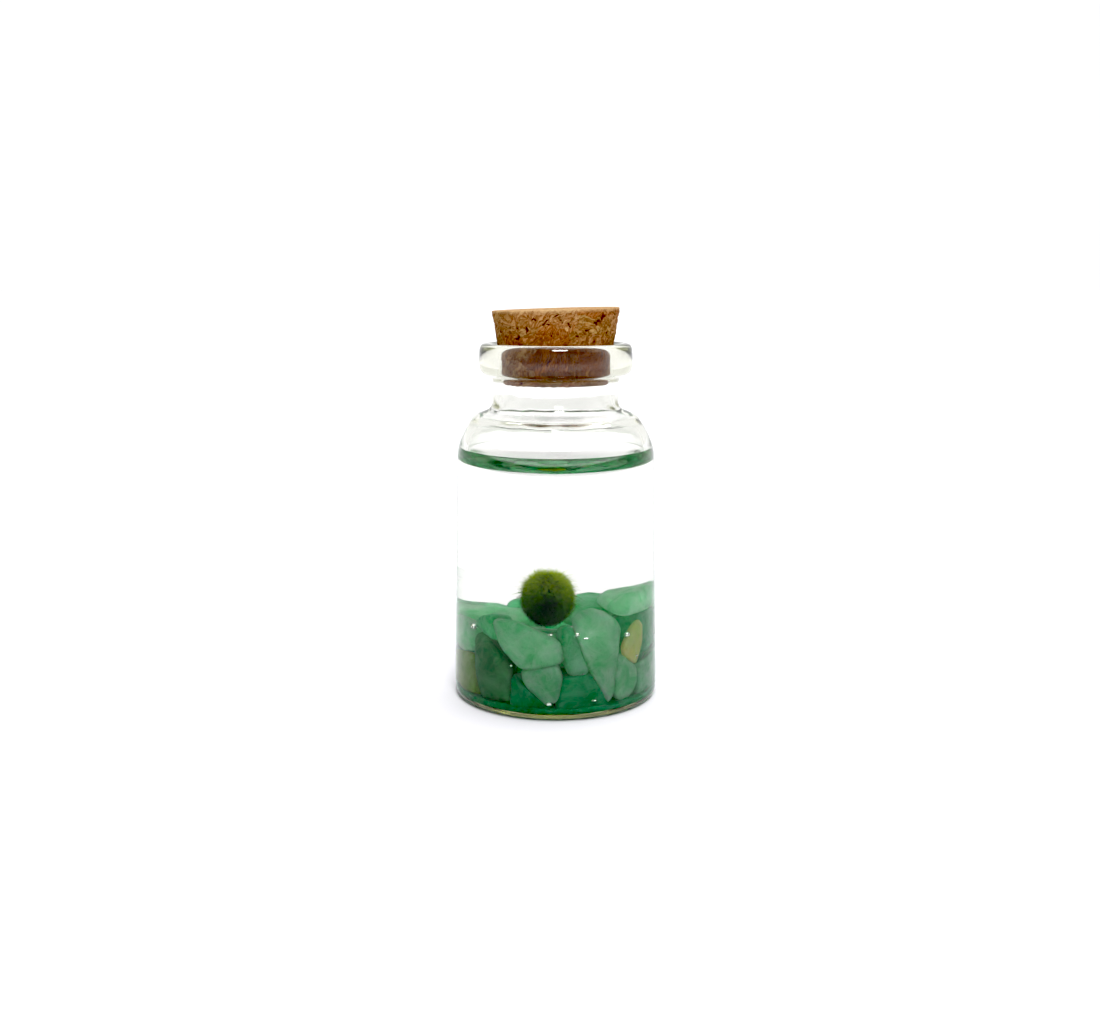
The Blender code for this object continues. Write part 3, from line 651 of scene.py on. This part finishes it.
# the bark's growth lines, 0.2 to 0.5 mm apart
drawn_out = add_node(cork, "ShaderNodeMapping", {"Scale": (0.6, 0.7, 2.2)},
                     {"Vector": (apart, 0)})
lines = add_node(cork, "ShaderNodeTexNoise", {"Scale": 0.46, "Detail": 5.0, "Roughness": 0.6},
                 {"Vector": (drawn_out, "Vector")})
tones = add_node(cork, "ShaderNodeValToRGB", links={"Fac": (lines, "Fac")})
tones.color_ramp.elements[0].position = 0.28
tones.color_ramp.elements[0].color = linear("#5e3220")
tones.color_ramp.elements[1].position = 0.74
tones.color_ramp.elements[1].color = linear("#a07850")
for position, colour in ((0.36, "#886240"), (0.42, "#ae8c66"), (0.465, "#764c2e"),
                         (0.50, "#a2805a"), (0.545, "#825838"), (0.60, "#b8986e"),
                         (0.65, "#84603e")):
    tones.color_ramp.elements.new(position).color = linear(colour)
# each crumb a little more olive or more red than the next
crumb_ramp = add_node(cork, "ShaderNodeValToRGB", links={"Fac": (crumb_tone, "Green")})
crumb_ramp.color_ramp.elements[0].color = linear("#c8c49c")
crumb_ramp.color_ramp.elements[1].color = linear("#e4b8a0")
crumb_ramp.color_ramp.elements.new(0.5).color = linear("#ffffff")
crumb_mix = add_node(cork, "ShaderNodeMix", {"data_type": "RGBA", "blend_type": "MULTIPLY"})
crumb_mix.inputs[0].default_value = 0.6
links.new(tones.outputs["Color"], crumb_mix.inputs[6])
links.new(crumb_ramp.outputs["Color"], crumb_mix.inputs[7])
# painted shade: the part inside the neck, behind the bead, is coloured darker and more orange
height_in_jar = add_node(cork, "ShaderNodeSeparateXYZ", links={"Vector": (in_mm, "Vector")})
neck_shade_height = add_node(cork, "ShaderNodeMapRange", {"From Min": 34.0, "From Max": 39.0},
                       {"Value": (height_in_jar, "Z")})
neck_shade_share = add_node(cork, "ShaderNodeValToRGB", links={"Fac": (neck_shade_height, "Result")})
neck_shade_share.color_ramp.elements[0].color = linear("#606060")
neck_shade_share.color_ramp.elements[1].color = linear("#000000")
for position, colour in ((0.26, "#606060"), (0.34, "#ffffff"),
                         (0.70, "#ffffff"), (0.88, "#000000")):
    neck_shade_share.color_ramp.elements.new(position).color = linear(colour)
neck_shaded = add_node(cork, "ShaderNodeMix", {"data_type": "RGBA", "blend_type": "MULTIPLY"})
# and the painted shade is stronger on some crumbs than on others
crumb_neck_shade = add_node(cork, "ShaderNodeMapRange",
                      {"From Min": 0.15, "From Max": 0.75, "To Min": 0.35, "To Max": 1.0},
                      {"Value": (crumb_tone, "Blue")})
neck_shade_taken = add_node(cork, "ShaderNodeMath", {"operation": "MULTIPLY"},
                    {0: (neck_shade_share, "Color"), 1: (crumb_neck_shade, "Result")})
links.new(neck_shade_taken.outputs["Value"], neck_shaded.inputs[0])
links.new(crumb_mix.outputs[2], neck_shaded.inputs[6])
neck_shaded.inputs[7].default_value = linear("#d09828")
# the rim of the slanting top is rubbed pale
up_the_slant = add_node(cork, "ShaderNodeVectorMath",
                        {"operation": "DOT_PRODUCT", 1: (-CORK_SLANT, 0.0, 1.0)},
                        {0: (in_mm, "Vector")})
rim_share = add_node(cork, "ShaderNodeMapRange",
                     {"From Min": 41.3, "From Max": 41.6, "To Min": 0.0, "To Max": 0.40},
                     {"Value": (up_the_slant, "Value")})
rubbed = add_node(cork, "ShaderNodeMix", {"data_type": "RGBA"})
links.new(rim_share.outputs["Result"], rubbed.inputs[0])
links.new(neck_shaded.outputs[2], rubbed.inputs[6])
rubbed.inputs[7].default_value = linear("#bca47c")
# dark grains of bark crust, 0.3 mm
grains = add_node(cork, "ShaderNodeTexNoise",
                  {"Scale": 2.6, "Detail": 4.0, "Roughness": 0.7, "Distortion": 1.2},
                  {"Vector": (in_mm, "Vector")})
grain_share = add_node(cork, "ShaderNodeMapRange",
                       {"From Min": 0.53, "From Max": 0.72, "To Min": 0.0, "To Max": 0.70},
                       {"Value": (grains, "Fac")})
grained = add_node(cork, "ShaderNodeMix", {"data_type": "RGBA"})
links.new(grain_share.outputs["Result"], grained.inputs[0])
links.new(rubbed.outputs[2], grained.inputs[6])
grained.inputs[7].default_value = linear("#6b3418")
# painted shade: the pits in the side and the holes in the ends are coloured near black
pit_shade_share = add_node(cork, "ShaderNodeAttribute", {"attribute_name": "pit"})
pit_shaded = add_node(cork, "ShaderNodeMix", {"data_type": "RGBA"})
links.new(pit_shade_share.outputs["Fac"], pit_shaded.inputs[0])
links.new(grained.outputs[2], pit_shaded.inputs[6])
pit_shaded.inputs[7].default_value = linear("#5a3034")
cork_shader = cork.node_tree.nodes["Principled BSDF"]
links.new(pit_shaded.outputs[2], cork_shader.inputs["Base Color"])
cork_bump = add_node(cork, "ShaderNodeBump", {"Strength": 0.8, "Distance": 0.16 * MM},
                     {"Height": (grains, "Fac")})
links.new(cork_bump.outputs["Normal"], cork_shader.inputs["Normal"])
cork_plug.data.materials.append(cork)
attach(cork_plug, "root")
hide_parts("cork_stopper")

# ---------------------------------------------------------------- the table and the light
# The jar stands on white paper in a white tent: light comes evenly from above and from
# behind, and less of it from the camera's side.
floor_mesh = bpy.data.meshes.new("paper_floor")
floor_mesh.from_pydata([(-6, -6, 0), (6, -6, 0), (6, 6, 0), (-6, 6, 0)], [],
                       [(0, 1, 2, 3)])
paper_floor = bpy.data.objects.new("paper_floor", floor_mesh)
paper_floor.location.z = -0.01 * MM
bpy.context.scene.collection.objects.link(paper_floor)
# paper, calendered: even and dull, a touch pink
paper = new_material("paper_calendered", {"Roughness": 0.8, "Specular IOR Level": 0.2})
# painted shade: the paper is coloured grey far in front, where it runs out of the light, and
# whitest far behind
along = add_node(paper, "ShaderNodeTexCoord")
along_y = add_node(paper, "ShaderNodeSeparateXYZ", links={"Vector": (along, "Object")})
painted_light_share = add_node(paper, "ShaderNodeMapRange", {"From Min": -0.6, "From Max": 0.4},
               {"Value": (along_y, "Y")})
sheet_painted_shade = add_node(paper, "ShaderNodeValToRGB", links={"Fac": (painted_light_share, "Result")})
sheet_painted_shade.color_ramp.elements[0].color = linear("#9f9ea2")
sheet_painted_shade.color_ramp.elements[1].color = linear("#f0eff2")
for position in (0.44, 0.66):
    sheet_painted_shade.color_ramp.elements.new(position).color = linear("#cdccd0")
paper.node_tree.links.new(sheet_painted_shade.outputs["Color"],
                          paper.node_tree.nodes["Principled BSDF"].inputs["Base Color"])
floor_mesh.materials.append(paper)

tent = bpy.data.worlds.new("white_tent")
tent.use_nodes = True
tent_light = tent.node_tree.nodes["Background"]
tent_light.inputs["Color"].default_value = linear("#ffffff")
towards = add_node(tent, "ShaderNodeTexCoord")
parts = add_node(tent, "ShaderNodeSeparateXYZ", links={"Vector": (towards, "Generated")})
back_share = add_node(tent, "ShaderNodeMapRange",
                      {"From Min": -0.85, "From Max": 0.0, "To Min": 0.05, "To Max": 1.02},
                      {"Value": (parts, "Y")})
low_share = add_node(tent, "ShaderNodeMapRange",
                     {"From Min": 0.18, "From Max": 0.42, "To Min": 0.48, "To Max": 0.05},
                     {"Value": (parts, "Z")})
brighter = add_node(tent, "ShaderNodeMath", {"operation": "MAXIMUM"},
                    {0: (back_share, "Result"), 1: (low_share, "Result")})
tent.node_tree.links.new(brighter.outputs["Value"], tent_light.inputs["Strength"])
bpy.context.scene.world = tent

softbox_light = bpy.data.lights.new("softbox_above", "SUN")
softbox_light.angle = math.radians(60.0)
softbox_light.energy = 2.3
softbox = bpy.data.objects.new("softbox_above", softbox_light)
softbox.rotation_euler = (math.radians(-12.0), math.radians(8.0), 0.0)
bpy.context.scene.collection.objects.link(softbox)

fill_light = bpy.data.lights.new("softbox_front", "AREA")
fill_light.size = 0.16
fill_light.energy = 2.3
fill = bpy.data.objects.new("softbox_front", fill_light)
fill.location = (0.04, -0.34, 0.36)
fill.rotation_euler = (Vector((0, 0, 0.02)) - fill.location).to_track_quat("-Z", "Y").to_euler()
bpy.context.scene.collection.objects.link(fill)

# The camera stands a hand's breadth off, a little above the jar and looking down at it.
CAMERA_PLACE = (-0.613, -135.5, 44.4)
CAMERA_PITCH = 9.9          # degrees down
VIEW_WIDTH_AT_UNIT = 1100 / 1270      # the photo's width over its focal length, in pixels
camera = bpy.data.cameras.new("camera")
camera.sensor_width = 36.0
camera.lens = 36.0 / VIEW_WIDTH_AT_UNIT
camera.clip_start = 0.001
camera_stand = bpy.data.objects.new("camera", camera)
camera_stand.location = Vector(CAMERA_PLACE) * MM
camera_stand.rotation_euler = (math.radians(90.0 - CAMERA_PITCH), 0.0, 0.0)
bpy.context.scene.collection.objects.link(camera_stand)
bpy.context.scene.camera = camera_stand
levels = bpy.context.scene.view_settings
levels.view_transform = "Standard"
# the photo's blacks are full, so the thin veil that the white tent leaves is taken off
levels.use_curve_mapping = True
levels.curve_mapping.black_level = (0.063, 0.063, 0.063)
levels.curve_mapping.update()
bpy.context.scene.cycles.max_bounces = 32
bpy.context.scene.cycles.glossy_bounces = 24
bpy.context.scene.cycles.transmission_bounces = 32
